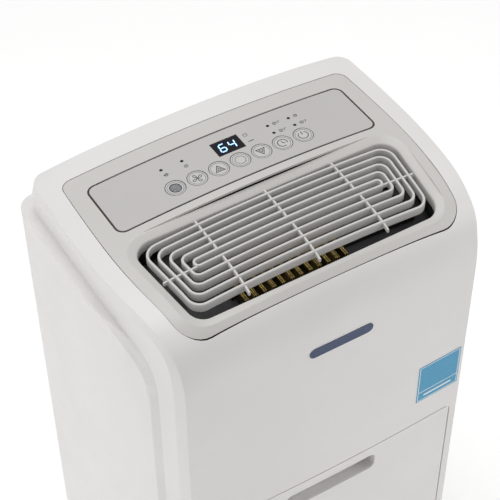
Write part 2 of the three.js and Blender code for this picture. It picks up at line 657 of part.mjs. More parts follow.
const shell = casingShell();
place('front_shell', frontShell(shell), WHITE);
place('rear_shell', rearShell(shell), WHITE);
place('top_panel', topPanel(), GREY);
place('control_overlay', controlOverlay(), 0xc6c3c0);
KEYS.names.forEach((name, index) => place(`${name}_key`, key(index), 0xd8d5d2));
LAMPS.forEach((spot, index) => place(`indicator_lamp_${index + 1}`, lamp(spot), 0x111111, 0.3));
place('display_window', displayWindow(), 0x050507, 0.15);
place('control_board', controlBoard(), 0x1f5a34);
place('outlet_grille', outletGrille(), WHITE);
place('water_bucket', waterBucket(), 0x8d949a, 0.35);
place('bucket_face', bucketFace(), WHITE);
place('bucket_lid', bucketLid(), 0x6f7478);
place('bucket_handle', bucketHandle(), GREY);
place('bucket_float', bucketFloat(), 0xf2f2ee);
place('level_switch', levelSwitch(), CHARCOAL);
place('intake_grille', intakeGrille(), GREY);
place('filter_frame', filterFrame(), 0x3a3c3f);
place('filter_mesh', filterMesh(), 0x55585c, 0.8);
place('base_pan', basePan(), ZINC);
place('bulkhead', bulkhead(), ZINC);
place('compressor', compressor(), CHARCOAL, 0.4, 0.3);
place('evaporator_coil', finnedCoil(EVAPORATOR.y, EVAPORATOR.thick), 0xb8a15a, 0.4, 0.7);
place('condenser_coil', finnedCoil(CONDENSER.y, CONDENSER.thick), 0xc0c2c4, 0.4, 0.8);
place('drip_tray', dripTray(), ZINC);
place('fan_scroll', fanScroll(), CHARCOAL);
place('blower_wheel', blowerWheel(), 0x25272a);
place('fan_motor', fanMotor(), ZINC, 0.35, 0.8);
place('capacitor', capacitor(), ZINC, 0.35, 0.8);
place('electrical_box', electricalBox(), ZINC, 0.4, 0.6);
place('suction_pipe', suctionPipe(), COPPER, 0.3, 0.9);
place('discharge_pipe', dischargePipe(), COPPER, 0.3, 0.9);
place('drain_outlet', drainOutlet(), GREY);
place('drain_plug', drainPlug(), CHARCOAL, 0.8);
place('cord_inlet', cordInlet(), CHARCOAL);
casterSpots.forEach((spot) => {
  const corner = `${spot[1] < 0 ? 'front' : 'rear'}_${spot[0] < 0 ? 'left' : 'right'}`;
  place(`caster_fork_${corner}`, casterFork(spot), ZINC, 0.35, 0.8);
  place(`caster_wheel_${corner}`, casterWheel(spot), CHARCOAL, 0.6);
});
screwSpots.forEach((spot) => {
  const corner = `${spot[1] < 300 ? 'lower' : 'upper'}_${spot[0] < 0 ? 'left' : 'right'}`;
  place(`case_screw_${corner}`, caseScrew(spot), ZINC, 0.3, 0.9);
});
place('energy_label', frontPlate(LABEL), 0x2496be);
place('name_badge', frontPlate(BADGE), 0x1d2f52);

export default group;
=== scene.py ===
"""Looks for the portable dehumidifier: casing, top panel, grille, keys, bucket front and materials."""
import math

import bmesh
import bpy
from mathutils import Matrix, Vector


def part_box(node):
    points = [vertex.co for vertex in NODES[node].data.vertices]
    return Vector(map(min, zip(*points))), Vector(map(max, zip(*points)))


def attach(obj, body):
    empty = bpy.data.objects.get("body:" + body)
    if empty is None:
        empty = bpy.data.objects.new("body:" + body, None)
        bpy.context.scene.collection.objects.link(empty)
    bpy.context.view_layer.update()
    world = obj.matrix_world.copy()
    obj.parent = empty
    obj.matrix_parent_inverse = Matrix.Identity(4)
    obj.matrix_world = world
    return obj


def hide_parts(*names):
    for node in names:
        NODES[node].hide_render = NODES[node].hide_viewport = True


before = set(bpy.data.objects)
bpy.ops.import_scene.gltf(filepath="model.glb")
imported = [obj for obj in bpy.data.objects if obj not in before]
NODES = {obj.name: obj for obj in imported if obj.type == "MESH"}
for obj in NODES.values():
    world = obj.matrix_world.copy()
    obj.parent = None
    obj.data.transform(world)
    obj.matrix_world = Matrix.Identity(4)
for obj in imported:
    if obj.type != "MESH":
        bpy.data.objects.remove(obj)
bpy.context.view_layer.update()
MM = 0.001


def node_mm(name):
    """Lowest and highest corner of a CAD node, in millimetres."""
    low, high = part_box(name)
    return low / MM, high / MM


# ---------- sizes read from the frame, in millimetres ----------
front_low, front_high = node_mm("front_shell")
rear_low, rear_high = node_mm("rear_shell")
overlay_low, overlay_high = node_mm("control_overlay")
display_low, display_high = node_mm("display_window")
face_low, face_high = node_mm("bucket_face")
intake_low, intake_high = node_mm("intake_grille")
label_low, label_high = node_mm("energy_label")
badge_low, badge_high = node_mm("name_badge")

TOP = rear_high.z + 1.2            # middle of the casing's top
SKIRT = front_low.z                # lower edge of the casing
SIDE = front_high.x                # half width of the lower casing
REAR = rear_high.y
SEAM = (front_high.y + rear_low.y) / 2
FRONT = front_low.y                # middle of the bowed front
CORNER_FRONT = FRONT + 4.2         # front at the corners
CROWN = 2 * 1600                   # twice the radius of the crown across the top
SHELL = 2.6                        # wall of the casing
UNDER_TOP, OVER_TOP = 560, 700     # reach of the tools that cut the top
FAR_BACK, FAR_FRONT = 200, -200    # reach of the tools that cut the back and the front
INSIDE_BACK, INSIDE_FRONT = 115, -90           # where those tools end, inside the casing
TOP_START = -60                    # the top rolls over in front of this Y

# ---------- rails: the creases that run round the casing ----------
SEAM_FLARE = 20                    # everything narrows in front of this line
CRUMB = 1e-4                       # two lengths closer than this are the same


def bezier(points, t):
    """A point on a cubic curve in Y and Z."""
    weights = ((1 - t) ** 3, 3 * t * (1 - t) ** 2, 3 * t * t * (1 - t), t ** 3)
    return tuple(sum(w * p[axis] for w, p in zip(weights, points)) for axis in (0, 1))


class Rail:
    """One crease: a half width that depends on Y, and a side profile that rolls over the front."""

    def __init__(self, half_width, seam_z, roll, rear_y, corner):
        self.half_width = half_width
        self.seam_z = seam_z
        self.roll = roll
        self.rear_y = rear_y
        self.corner = corner

    def ahead(self, share):
        """From the seam to the start of the roll."""
        y = SEAM + (self.roll[0][0] - SEAM) * share
        z = self.seam_z + (self.roll[0][1] - self.seam_z) * share * share
        return self.half_width(y), y, z

    def rolling(self, share):
        y, z = bezier(self.roll, share)
        return self.half_width(y), y, z

    def down(self, share):
        y, z = self.roll[3]
        return self.half_width(y), y, z + (SKIRT - z) * share


def narrowing(width, rate, start=SEAM_FLARE):
    return lambda y: width - rate * max(0.0, start - y) ** 2


def rim_half_width(y):
    return 179.6 - 0.00082 * max(0.0, 25 - y) ** 2 - 0.00028 * max(0.0, y - 25) ** 2


FRONT_EDGE = CORNER_FRONT - 0.2
RIM = Rail(rim_half_width, TOP - 11.2,
           ((-60, TOP - 11), (-112, TOP - 11.5), (FRONT_EDGE, TOP - 29), (FRONT_EDGE, TOP - 88)), 127, 16)
SHOULDER = Rail(narrowing(180.6, 0.00073), TOP - 22.9,
                ((-70, TOP - 23.4), (-112, TOP - 21.5), (-125.2, TOP - 29), (-125.4, TOP - 88)), 127.8, 17)
FOOT = Rail(narrowing(180.2, 0.00061), TOP - 43.9,
            ((-60, TOP - 51), (-95, TOP - 52.5), (-105.5, TOP - 65), (-105.5, TOP - 108)), 127.8, 17)
CHEEK = Rail(narrowing(SIDE, 0.000998), TOP - 43.9,
             ((-20, TOP - 44), (-62, TOP - 51), (-99.7, TOP - 58), (-99.9, TOP - 108)), REAR, 20)
CENTRE_ROLL = ((TOP_START, TOP - 1.7), (-108, TOP - 2.5), (FRONT + 0.6, TOP - 11.5), (FRONT, TOP - 70))


def centre_profile(y):
    """Height of the middle of the top, behind where it rolls over."""
    if y > 5:
        return TOP - 1.6 * ((y - 5) / 122) ** 1.5
    return TOP - 1.7 * ((5 - y) / 65) ** 2


def centre_point(stage, share):
    if stage == "ahead":
        y = SEAM + (TOP_START - SEAM) * share
        return y, centre_profile(y)
    if stage == "rolling":
        return bezier(CENTRE_ROLL, share)
    y, z = CENTRE_ROLL[3]
    return y, z + (SKIRT - z) * share


def across(centre, rim, share):
    """A point of the crowned and bowed skin, from the middle (0) to the rim crease (1 or -1)."""
    width, rim_y, rim_z = rim
    x = width * share
    even = share * share
    crown = centre[1] - x * x / CROWN
    rest = rim_z - (centre[1] - width * width / CROWN)
    on_top = min(1.0, max(0.0, (centre[1] - (TOP - 60)) / 50))
    lifted = crown * on_top + centre[1] * (1 - on_top)
    rest = rest * on_top + (rim_z - centre[1]) * (1 - on_top)
    return x, centre[0] + (rim_y - centre[0]) * even, lifted + rest * even ** 3


def roll_share(y):
    """Where along the centre's roll it reaches this Y."""
    low, high = 0.0, 1.0
    for _ in range(24):
        middle = (low + high) / 2
        if bezier(CENTRE_ROLL, middle)[0] > y:
            low = middle
        else:
            high = middle
    return low


def top_point(x, y, lift=0.0):
    """The point of the top skin over (x, y), raised by lift."""
    if y >= TOP_START:
        return Vector((x, y, centre_profile(y) - x * x / CROWN + lift))
    share = roll_share(y)
    centre = bezier(CENTRE_ROLL, share)
    rim = RIM.rolling(share)
    px, py, pz = across(centre, rim, x / rim[0])
    return Vector((px, py, pz + lift))


def front_y(x):
    """The straight front's Y at this X."""
    rim = RIM.down(0)
    return FRONT + (rim[1] - FRONT) * (x / rim[0]) ** 2


# ---------- mesh helpers ----------
def new_object(name, mesh, body):
    obj = bpy.data.objects.new(name, mesh)
    bpy.context.scene.collection.objects.link(obj)
    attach(obj, body)
    return obj


def to_mesh(name, build, smooth=True):
    """Makes a mesh in metres from what build() adds to an empty bmesh in millimetres."""
    bm = bmesh.new()
    build(bm)
    bmesh.ops.scale(bm, vec=Vector((MM, MM, MM)), verts=bm.verts)
    mesh = bpy.data.meshes.new(name)
    bm.to_mesh(mesh)
    bm.free()
    for polygon in mesh.polygons:
        polygon.use_smooth = smooth
    return mesh


def add_grid(bm, rows, flip=False):
    """Quads between rows of points. Returns the rows of vertices."""
    made = [[bm.verts.new(p) for p in row] for row in rows]
    for row, following in zip(made, made[1:]):
        for i in range(len(row) - 1):
            corners = (row[i], row[i + 1], following[i + 1], following[i])
            bm.faces.new(corners[::-1] if flip else corners)
    return made


def weld(bm, distance=0.01):
    bmesh.ops.remove_doubles(bm, verts=bm.verts, dist=distance)
    bmesh.ops.dissolve_degenerate(bm, edges=bm.edges, dist=distance)


def mark_bevels(bm, creases):
    """Gives each edge that lies on a marked pair of points its share of the bevel width."""
    name = "bevel_weight_edge"
    layer = bm.edges.layers.float.get(name) or bm.edges.layers.float.new(name)
    for vertices, weight in creases:
        for a, b in zip(vertices, vertices[1:]):
            edge = bm.edges.get((a, b))
            if edge:
                edge[layer] = weight


def bevel(obj, width, segments=2, by_weight=False, angle=32):
    modifier = obj.modifiers.new("edge_round", "BEVEL")
    modifier.width = width * MM
    modifier.segments = segments
    modifier.limit_method = "WEIGHT" if by_weight else "ANGLE"
    modifier.angle_limit = math.radians(angle)
    modifier.harden_normals = False


def weighted_normals(obj):
    modifier = obj.modifiers.new("even_shading", "WEIGHTED_NORMAL")
    modifier.keep_sharp = True


def thicken(obj, thickness):
    """Gives a sheet its wall, behind the surface."""
    modifier = obj.modifiers.new("wall", "SOLIDIFY")
    modifier.thickness = thickness * MM
    modifier.offset = -1


def sharpen(mesh, angle=35):
    """Keeps the shading crisp over edges sharper than this."""
    bm = bmesh.new()
    bm.from_mesh(mesh)
    for edge in bm.edges:
        if len(edge.link_faces) == 2 and edge.calc_face_angle(0) > math.radians(angle):
            edge.smooth = False
    bm.to_mesh(mesh)
    bm.free()


def settle(obj):
    """Applies the object's modifiers to its mesh."""
    graph = bpy.context.evaluated_depsgraph_get()
    shaped = obj.evaluated_get(graph)
    final = bpy.data.meshes.new_from_object(shaped, preserve_all_data_layers=True, depsgraph=graph)
    obj.modifiers.clear()
    obj.data = final


def cut_with(obj, cutters):
    """Cuts the tools out of the object, then removes the tools."""
    for cutter in cutters:
        modifier = obj.modifiers.new("opening", "BOOLEAN")
        modifier.operation = "DIFFERENCE"
        modifier.solver = "EXACT"
        modifier.object = cutter
    settle(obj)
    for cutter in cutters:
        bpy.data.objects.remove(cutter)


def prism_tool(points, low, high, axis="Z"):
    """A closed cutting tool: a flat outline drawn out along Z or Y."""
    def build(bm):
        def place(u, v, w):
            return (u, v, w) if axis == "Z" else (u, w, v)
        bottom = [bm.verts.new(place(u, v, low)) for u, v in points]
        top = [bm.verts.new(place(u, v, high)) for u, v in points]
        bm.faces.new(bottom)
        bm.faces.new(top)
        for i in range(len(points)):
            j = (i + 1) % len(points)
            bm.faces.new((bottom[i], bottom[j], top[j], top[i]))
        bmesh.ops.recalc_face_normals(bm, faces=bm.faces)
    obj = bpy.data.objects.new("tool", to_mesh("tool", build, smooth=False))
    bpy.context.scene.collection.objects.link(obj)
    return obj


def arc(cx, cy, radius, start, end, steps):
    """Points on a round corner, angles in degrees."""
    angles = [math.radians(start + (end - start) * i / steps) for i in range(steps + 1)]
    return [(cx + radius * math.cos(a), cy + radius * math.sin(a)) for a in angles]


def round_rectangle(x0, x1, y0, y1, r, steps=6):
    return (arc(x1 - r, y0 + r, r, -90, 0, steps) + arc(x1 - r, y1 - r, r, 0, 90, steps)
            + arc(x0 + r, y1 - r, r, 90, 180, steps) + arc(x0 + r, y0 + r, r, 180, 270, steps))


def circle(cx, cy, radius, steps=32):
    return arc(cx, cy, radius, 0, 360 - 360 / steps, steps - 1)


# ---------- casing shells ----------
AHEAD, ROLLING, DOWN = 10, 20, 12  # rows of each stage
SIDE_STEPS = 26
EDGE_SHARES = (1.0, 0.55, 0.55, 1.0)           # bevel width at each crease, as a share of the widest


def spread(count):
    """Even shares from 0 to 1."""
    return [i / count for i in range(count + 1)]


def half_shares():
    """Columns across the skin: closer together towards the rim, where it rolls off."""
    return [math.sin(math.pi / 2 * s) for s in spread(SIDE_STEPS)]


FULL_SHARES = [-s for s in reversed(half_shares()[1:])] + half_shares()


def front_stations():
    stations = [("ahead", s) for s in spread(AHEAD)]
    stations += [("rolling", s) for s in spread(ROLLING)[1:]]
    stations += [("down", s) for s in spread(DOWN)[1:]]
    return stations


def at(rail, stage, share):
    """The rail's point at this share of one of its three stages."""
    return getattr(rail, stage)(share)


def mirrored(point):
    return (-point[0], point[1], point[2])


def build_front(bm):
    rows = []
    for stage, share in front_stations():
        rim = at(RIM, stage, share)
        centre = centre_point(stage, share)
        edge = [at(rail, stage, share) for rail in (CHEEK, FOOT, SHOULDER)]
        skin = [across(centre, rim, s) for s in FULL_SHARES]
        rows.append([mirrored(p) for p in edge] + skin + edge[::-1])
    made = add_grid(bm, rows)
    creases = []
    for column, weight in enumerate(EDGE_SHARES):
        creases.append(([row[column] for row in made], weight))
        creases.append(([row[-1 - column] for row in made], weight))
    mark_bevels(bm, creases)
    for sign in (1, -1):
        walls = []
        for stage, share in front_stations()[: AHEAD + ROLLING + 1]:
            x, y, z = at(CHEEK, stage, share)
            walls.append([(sign * x, y, z + (SKIRT - z) * s) for s in spread(DOWN)])
        add_grid(bm, walls, flip=sign < 0)
    weld(bm)
    bmesh.ops.recalc_face_normals(bm, faces=bm.faces)


REAR_STRAIGHT, REAR_TURN = 8, 8


def rear_side(rail):
    """Half width and Y of the crease, from the seam to the end of the rear corner."""
    bend = rail.rear_y - rail.corner
    levels = [SEAM + (bend - SEAM) * share for share in spread(REAR_STRAIGHT)]
    side = [(rail.half_width(y), y) for y in levels]
    inner = rail.half_width(bend) - rail.corner
    for share in spread(REAR_TURN)[1:]:
        angle = share * math.pi / 2
        side.append((inner + rail.corner * math.cos(angle), bend + rail.corner * math.sin(angle)))
    return side


def rear_loop(rail):
    """The crease from the left end of the seam, round the back, to the right end."""
    side = rear_side(rail)
    inner = rail.half_width(rail.rear_y - rail.corner) - rail.corner
    back = [(inner * s, rail.rear_y) for s in FULL_SHARES[1:-1]]
    return [(-x, y) for x, y in side] + back + side[::-1]


def build_rear(bm):
    rows = []
    for width, y in rear_side(RIM):
        rim = (width, y, RIM.seam_z)
        rows.append([across((y, centre_profile(y)), rim, s) for s in FULL_SHARES])
    made = add_grid(bm, rows)
    rim_loop = [row[0] for row in made] + made[-1][1:-1] + [row[-1] for row in made][::-1]
    heights = [v.co.z for v in rim_loop]
    loops = [[tuple(v.co) for v in rim_loop]]
    shoulder_drop = RIM.seam_z - SHOULDER.seam_z
    loops.append([(x, y, z - shoulder_drop) for (x, y), z in zip(rear_loop(SHOULDER), heights)])
    loops.append([(x, y, FOOT.seam_z) for x, y in rear_loop(FOOT)])
    cheek = rear_loop(CHEEK)
    loops.append([(x, y, CHEEK.seam_z) for x, y in cheek])
    loops.append([(x, y, SKIRT) for x, y in cheek])
    walls = add_grid(bm, loops)
    mark_bevels(bm, list(zip(walls, EDGE_SHARES)))
    weld(bm)
    bmesh.ops.recalc_face_normals(bm, faces=bm.faces)


def shell_object(name, build, node, cutters):
    obj = new_object(name, to_mesh(name, build), "casing")
    bevel(obj, 2.4, 4, by_weight=True)
    thicken(obj, SHELL)
    settle(obj)
    cut_with(obj, cutters)
    sharpen(obj.data)
    weighted_normals(obj)
    settle(obj)
    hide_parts(node)
    return obj


# ---------- plan outlines on the top ----------
PANEL_BACK, PANEL_FRONT = 101.3, -123.6
OUTLET_BACK, OUTLET_FRONT = -6.9, -108.0
OUTLET_SLANT = 0.125
OUTLET_MIDDLE = (OUTLET_BACK + OUTLET_FRONT) / 2
OUTLET_HALF = 135.9


def panel_half_width(y):
    return 160.6 - 0.0009 * max(0.0, 8 - y) ** 2 - 0.00031 * max(0.0, y - 8) ** 2


def slanted_loop(back, front, half_middle, corner, steps=7):
    """A loop that is wider at the back, with round corners, anticlockwise from the front right."""
    def half(y):
        return half_middle + OUTLET_SLANT * (y - OUTLET_MIDDLE)
    turn = math.degrees(math.atan(OUTLET_SLANT))
    points = []
    points += arc(half(front + corner) - corner, front + corner, corner, -90, -turn, steps)
    points += arc(half(back - corner) - corner, back - corner, corner, -turn, 90, steps)
    return points + [(-x, y) for x, y in reversed(points)]


def outlet_loop(grow):
    return slanted_loop(OUTLET_BACK + grow, OUTLET_FRONT - grow, OUTLET_HALF + grow, 17 + grow * 0.8)


def panel_outline(grow, steps=8):
    back_r, front_r = 11 + grow, 27 + grow
    back, front = PANEL_BACK + grow, PANEL_FRONT - grow
    points = []
    centre_y = front + front_r
    points += arc(panel_half_width(centre_y) + grow - front_r, centre_y, front_r, -90, -4, steps)
    points += [(panel_half_width(y) + grow, y) for y in range(-88, 85, 8)]
    centre_y = back - back_r
    points += arc(panel_half_width(centre_y) + grow - back_r, centre_y, back_r, 2, 90, steps)
    return points + [(-x, y) for x, y in reversed(points)]


# ---------- materials ----------
def shader(material):
    return material.node_tree.nodes["Principled BSDF"]


def new_material(name, color, roughness, metallic=0.0):
    material = bpy.data.materials.new(name)
    material.use_nodes = True
    surface = shader(material)
    surface.inputs["Base Color"].default_value = (*color, 1)
    surface.inputs["Roughness"].default_value = roughness
    surface.inputs["Metallic"].default_value = metallic
    return material


def noise(tree, scale, detail=3.0, stretch=None):
    """Noise in the piece's own coordinates, which are metres."""
    coordinates = tree.nodes.new("ShaderNodeTexCoord")
    texture = tree.nodes.new("ShaderNodeTexNoise")
    texture.inputs["Scale"].default_value = scale
    texture.inputs["Detail"].default_value = detail
    place = coordinates.outputs["Object"]
    if stretch:
        mapping = tree.nodes.new("ShaderNodeMapping")
        mapping.inputs["Scale"].default_value = stretch
        tree.links.new(place, mapping.inputs["Vector"])
        place = mapping.outputs["Vector"]
    tree.links.new(place, texture.inputs["Vector"])
    return texture.outputs["Fac"]


NOISE_LOW, NOISE_HIGH = 0.3, 0.7   # nearly all of the noise lies between these


def vary_color(material, factor, dark, light):
    tree = material.node_tree
    ramp = tree.nodes.new("ShaderNodeValToRGB")
    first, last = ramp.color_ramp.elements
    first.position, last.position = NOISE_LOW, NOISE_HIGH
    first.color, last.color = (*dark, 1), (*light, 1)
    tree.links.new(factor, ramp.inputs["Fac"])
    tree.links.new(ramp.outputs["Color"], shader(material).inputs["Base Color"])


def vary_roughness(material, factor, low, high):
    tree = material.node_tree
    spread_out = tree.nodes.new("ShaderNodeMapRange")
    limits = {"From Min": NOISE_LOW, "From Max": NOISE_HIGH, "To Min": low, "To Max": high}
    for socket, limit in limits.items():
        spread_out.inputs[socket].default_value = limit
    tree.links.new(factor, spread_out.inputs["Value"])
    tree.links.new(spread_out.outputs["Result"], shader(material).inputs["Roughness"])


def roughen(material, factor, height_mm, strength=0.3):
    tree = material.node_tree
    bump = tree.nodes.new("ShaderNodeBump")
    bump.inputs["Strength"].default_value = strength
    bump.inputs["Distance"].default_value = height_mm * MM
    tree.links.new(factor, bump.inputs["Height"])
    tree.links.new(bump.outputs["Normal"], shader(material).inputs["Normal"])


def shade(color, by):
    return tuple(min(1.0, c * by) for c in color)


def moulded(name, color, roughness=0.45, grain=1400, height=0.05, strength=0.25, drift=0.02):
    """Moulded plastic: a fine spark-eroded grain, faint tone drift and uneven gloss."""
    material = new_material(name, color, roughness)
    tree = material.node_tree
    vary_color(material, noise(tree, 9, 4), shade(color, 1 - drift), shade(color, 1 + drift))
    vary_roughness(material, noise(tree, 60, 5), roughness - 0.05, roughness + 0.07)
    roughen(material, noise(tree, grain, 2), height, strength)
    return material


def sheet_metal(name, color, roughness=0.38, spangle=45):
    material = new_material(name, color, roughness, 1.0)
    tree = material.node_tree
    vary_color(material, noise(tree, spangle, 6), shade(color, 0.8), shade(color, 1.15))
    vary_roughness(material, noise(tree, 120, 5), roughness - 0.1, roughness + 0.15)
    roughen(material, noise(tree, 700, 3), 0.04, 0.2)
    return material


def brushed(name, color, roughness=0.3, stretch=(30, 900, 30)):
    material = new_material(name, color, roughness, 1.0)
    tree = material.node_tree
    vary_roughness(material, noise(tree, 4, 5, stretch), roughness - 0.08, roughness + 0.15)
    roughen(material, noise(tree, 5, 3, stretch), 0.03, 0.25)
    return material


BAND_SCALE = 0.314                 # scale of a wave texture whose bands are one unit apart


def bands(tree, direction, pitch_mm, distortion=0.0):
    """Stripes this far apart across one axis of the piece."""
    coordinates = tree.nodes.new("ShaderNodeTexCoord")
    wave = tree.nodes.new("ShaderNodeTexWave")
    wave.wave_type = "BANDS"
    wave.bands_direction = direction
    wave.inputs["Scale"].default_value = 1 / (pitch_mm * MM) * BAND_SCALE
    wave.inputs["Distortion"].default_value = distortion
    tree.links.new(coordinates.outputs["Object"], wave.inputs["Vector"])
    return wave.outputs["Fac"]


def fins_with_gap_shade(name, color, pitch_mm=2.1, roughness=0.35):
    """Thin upright fins, as dark and bright stripes with their own relief. The dark stripes are painted
    shade in the gaps between the fins.
    """
    material = new_material(name, color, roughness, 0.9)
    fins = bands(material.node_tree, "X", pitch_mm, 0.4)
    # painted shade: the dark stripes, a quarter of the fin colour, stand for the shade between the fins
    vary_color(material, fins, shade(color, 0.25), shade(color, 1.1))
    roughen(material, fins, 0.6, 0.9)
    return material


def net(name, color, pitch_mm=2.4):
    """A woven filter net: two crossed sets of threads."""
    material = new_material(name, color, 0.7)
    tree = material.node_tree
    highest = tree.nodes.new("ShaderNodeMath")
    highest.operation = "MAXIMUM"
    for socket, direction in enumerate("XZ"):
        tree.links.new(bands(tree, direction, pitch_mm), highest.inputs[socket])
    vary_color(material, highest.outputs["Value"], shade(color, 0.2), shade(color, 1.3))
    roughen(material, highest.outputs["Value"], 0.5, 0.8)
    return material


WHITE = moulded("casing_white", (0.80, 0.785, 0.775), 0.42)
PANEL_GREY = moulded("panel_grey", (0.62, 0.605, 0.585), 0.4)
OVERLAY_GREY = moulded("overlay_grey", (0.55, 0.535, 0.525), 0.36, grain=2200, height=0.02, strength=0.15)
KEY_GREY = moulded("key_grey", (0.60, 0.59, 0.575), 0.36, grain=2200, height=0.02, strength=0.15)
GRILLE_GREY = moulded("grille_grey", (0.66, 0.65, 0.64), 0.38)
OUTLINE_BROWN = moulded("outline_print", (0.045, 0.035, 0.028), 0.5, drift=0.1)
ICON_SLATE = moulded("icon_print", (0.035, 0.05, 0.075), 0.5, drift=0.1)
BLACK_PLASTIC = moulded("black_plastic", (0.012, 0.012, 0.013), 0.5, drift=0.1)
LAMP_BLACK = moulded("lamp_black", (0.004, 0.004, 0.004), 0.2, strength=0.05)
SCREEN_BLACK = moulded("screen_black", (0.002, 0.0025, 0.006), 0.12, strength=0.03)
BUCKET_SMOKE = moulded("bucket_smoke", (0.20, 0.22, 0.25), 0.28)
LID_GREY = moulded("lid_grey", (0.12, 0.13, 0.14), 0.45)
HANDLE_GREY = moulded("handle_grey", (0.42, 0.42, 0.42), 0.4)
FLOAT_WHITE = moulded("float_white", (0.78, 0.78, 0.74), 0.6, grain=500, height=0.2)
LABEL_BLUE = moulded("label_blue", (0.018, 0.30, 0.52), 0.3, strength=0.05)
LABEL_WHITE = moulded("label_white", (0.75, 0.82, 0.86), 0.35, strength=0.05)
BADGE_NAVY = moulded("badge_navy", (0.006, 0.03, 0.11), 0.25, strength=0.08)
BOARD_GREEN = moulded("board_green", (0.01, 0.09, 0.035), 0.35, grain=300, height=0.1)
RUBBER = moulded("rubber", (0.015, 0.015, 0.015), 0.75, grain=900, height=0.1)
COMPRESSOR_BLACK = moulded("compressor_paint", (0.01, 0.01, 0.011), 0.3, grain=260, height=0.2)
ZINC = sheet_metal("zinc_sheet", (0.55, 0.56, 0.57))
SCREW_STEEL = brushed("screw_steel", (0.6, 0.6, 0.6))
CAN_ALUMINIUM = brushed("can_aluminium", (0.68, 0.68, 0.69))
COPPER = brushed("copper_tube", (0.82, 0.42, 0.26), 0.28, stretch=(60, 60, 700))
GOLD_FIN = fins_with_gap_shade("gold_fin", (0.62, 0.46, 0.16))
SILVER_FIN = fins_with_gap_shade("silver_fin", (0.62, 0.63, 0.65))
FILTER_NET = net("filter_net", (0.06, 0.065, 0.075))


def glowing(name, color, strength):
    material = new_material(name, color, 0.4)
    surface = shader(material)
    surface.inputs["Emission Color"].default_value = (*color, 1)
    surface.inputs["Emission Strength"].default_value = strength
    vary_roughness(material, noise(material.node_tree, 300, 2), 0.3, 0.5)
    return material


DIGIT_BLUE = glowing("digit_glow", (0.35, 0.6, 1.0), 1.6)


def paint(obj, material):
    obj.data.materials.clear()
    obj.data.materials.append(material)


# ---------- casing ----------
FACE_PLAY, FACE_RADIUS = 1, 8      # gap round the bucket's face and its corners
INTAKE_PLAY, INTAKE_RADIUS = 0.3, 10
HOLES = {"drain_outlet": 11, "cord_inlet": 8}
SCREW_RECESS, SCREW_DEEP = 4.6, 1.9


def top_tool(outline):
    """A tool that cuts a flat outline through the top."""
    return prism_tool(outline, UNDER_TOP, OVER_TOP)


def back_tool(outline, start=INSIDE_BACK):
    return prism_tool(outline, start, FAR_BACK, axis="Y")


def face_rectangle(low, high, play, radius):
    """The outline of a node in X and Z, grown by the play around it."""
    return round_rectangle(low.x - play, high.x + play, low.z - play, high.z + play, radius)


def centre_of(name):
    low, high = node_mm(name)
    return (low + high) / 2


def build_casing():
    face_outline = face_rectangle(face_low, face_high, FACE_PLAY, FACE_RADIUS)
    face_hole = prism_tool(face_outline, FAR_FRONT, INSIDE_FRONT, axis="Y")
    front = shell_object("front_casing", build_front, "front_shell", [top_tool(panel_outline(0)), face_hole])
    paint(front, WHITE)
    tools = [top_tool(panel_outline(0)),
             back_tool(face_rectangle(intake_low, intake_high, INTAKE_PLAY, INTAKE_RADIUS))]
    for name, radius in HOLES.items():
        middle = centre_of(name)
        tools.append(back_tool(circle(middle.x, middle.z, radius)))
    for name in NODES:
        if name.startswith("case_screw"):
            middle = centre_of(name)
            tools.append(back_tool(circle(middle.x, middle.z, SCREW_RECESS, 20), REAR - SCREW_DEEP))
    rear = shell_object("rear_casing", build_rear, "rear_shell", tools)
    paint(rear, WHITE)


# ---------- sheets that follow the top ----------
PANEL_DROP = -0.5                  # the panel lies this far below the casing's top
LEVEL_GAP = 0.15                   # rows closer than this are merged
SHEET_COLUMNS = 40


def plan_width(outline, y):
    """The outline's half width at this Y."""
    best = 0.0
    count = len(outline)
    for i in range(count):
        (x0, y0), (x1, y1) = outline[i], outline[(i + 1) % count]
        if min(y0, y1) - CRUMB <= y <= max(y0, y1) + CRUMB:
            if abs(y1 - y0) < CRUMB:
                best = max(best, x0, x1)
            else:
                best = max(best, x0 + (x1 - x0) * (y - y0) / (y1 - y0))
    return best


def top_sheet(name, outline, lift, thickness, material, step=4.0):
    """A sheet that lies on the crowned top inside a flat outline."""
    levels = sorted({round(y, 3) for _, y in outline})
    ys = [levels[0]]
    for level in levels[1:]:
        gap = level - ys[-1]
        if gap < LEVEL_GAP:
            continue
        parts = max(1, math.ceil(gap / step))
        start = ys[-1]
        ys += [start + gap * (i + 1) / parts for i in range(parts)]

    def build(bm):
        rows = []
        for y in ys:
            width = max(plan_width(outline, y), 0.5)
            rows.append([top_point(width * (2 * s - 1), y, lift) for s in spread(SHEET_COLUMNS)])
        add_grid(bm, rows)
        bmesh.ops.recalc_face_normals(bm, faces=bm.faces)
    obj = new_object(name, to_mesh(name, build), "casing")
    if obj.data.polygons[0].normal.z < 0:
        obj.data.flip_normals()
    thicken(obj, thickness)
    settle(obj)
    paint(obj, material)
    return obj


def add_loops(bm, loops, joined=False):
    """Quads between closed loops that have the same number of points. Joined: also from last to first."""
    made = [[bm.verts.new(p) for p in loop] for loop in loops]
    if joined:
        made.append(made[0])
    for loop, following in zip(made, made[1:]):
        for i in range(len(loop)):
            j = (i + 1) % len(loop)
            bm.faces.new((loop[i], loop[j], following[j], following[i]))
    return made


def loop_piece(name, loops, material):
    """A closed band made of loops, the last joined back to the first. It rides on the casing."""
    def build(bm):
        add_loops(bm, loops, joined=True)
        bmesh.ops.recalc_face_normals(bm, faces=bm.faces)
    obj = new_object(name, to_mesh(name, build), "casing")
    paint(obj, material)
    return obj


def on_top(points, lift):
    return [top_point(x, y, lift) for x, y in points]


DISH = 9.0                         # width of the dished surround of the outlet
PANEL_PLAY, PANEL_THICK = 0.6, 2.4
OVERLAY_PLAY = 0.5
OUTLET_WALL = -14                  # how far the outlet's wall goes down


